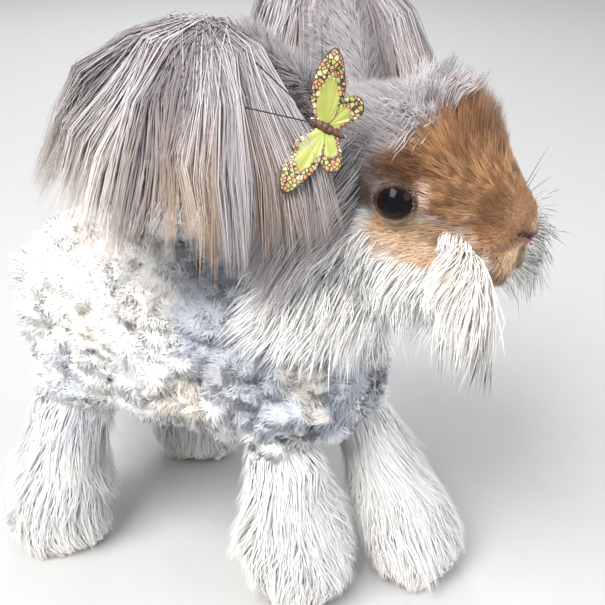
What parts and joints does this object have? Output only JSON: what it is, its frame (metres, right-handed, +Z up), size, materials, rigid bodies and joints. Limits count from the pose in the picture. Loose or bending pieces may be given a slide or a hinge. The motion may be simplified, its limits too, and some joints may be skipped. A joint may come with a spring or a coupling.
{
  "type": "angora rabbit",
  "caption": "Still life-size standing angora rabbit: clipped woolly body, long hair on ears, cheeks and feet, and a butterfly clip by one ear.",
  "frame": {"origin": "on the floor, under the middle of the rabbit's bounding box", "axes": "+Z up, -Y the way the rabbit faces, +X its left side"},
  "size_m": [0.179, 0.3172, 0.3301],
  "materials": {
    "wool": "short clipped crimped wool, white with blue-grey and cream patches",
    "foot_hair": "long white hair, faintly beige at the toes",
    "ear_hair": "long silky lilac-grey hair streaked with taupe and white",
    "head_coat": "short ticked orange-brown fur with long white cheek and lip hair",
    "eye": "wet gloss, dark brown iris and black pupil",
    "clip_body": "ribbed, dull",
    "clip_wing": "stiff printed film, yellow-green with orange patches and black veins",
    "clip_antenna": "thin black wire",
    "clip_clasp": "dull spring steel"
  },
  "bodies": {
    "root": {"head": "head_coat", "neck": "wool", "trunk": "wool", "tail": "wool", "ear_left": "ear_hair", "ear_right": "ear_hair", "foreleg_left": "foot_hair", "foreleg_right": "foot_hair", "hindleg_left": "foot_hair", "hindleg_right": "foot_hair", "eye_left": "eye", "eye_right": "eye", "clip_body": "clip_body", "clip_clasp": "clip_clasp", "clip_wings_upper": "clip_wing", "clip_wings_lower": "clip_wing", "clip_antenna_upper": "clip_antenna", "clip_antenna_lower": "clip_antenna"}
  },
  "joints": []
}
